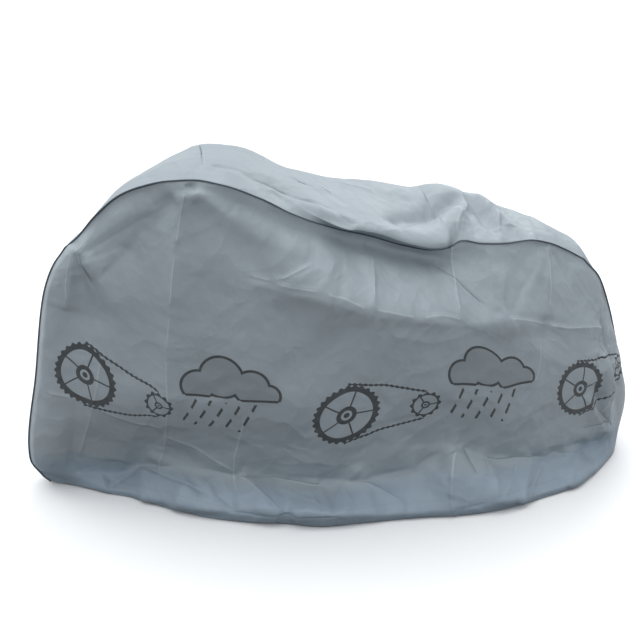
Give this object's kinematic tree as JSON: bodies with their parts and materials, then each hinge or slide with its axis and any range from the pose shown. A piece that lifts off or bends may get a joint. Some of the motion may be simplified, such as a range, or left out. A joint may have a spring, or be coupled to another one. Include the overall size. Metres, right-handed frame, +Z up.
{
  "type": "bicycle cover",
  "caption": "Fitted film cover draped over a standing bicycle, with side panels joined by bound seams to a gusset along the top, hollow and open below.",
  "frame": {"origin": "under the gusset, where the handlebar of the covered bicycle carries the cover", "axes": "+X from the front wheel's end to the rear wheel's end, +Y from the cover's left side to its right side, +Z up"},
  "size_m": [2.0742, 0.936, 1.0895],
  "materials": {
    "silver_film": "satin film",
    "dark_tape": "matt woven tape"
  },
  "bodies": {
    "root": {"side_panel_left": "silver_film", "side_panel_right": "silver_film", "top_gusset": "silver_film", "binding_left": "dark_tape", "binding_right": "dark_tape"}
  },
  "joints": []
}
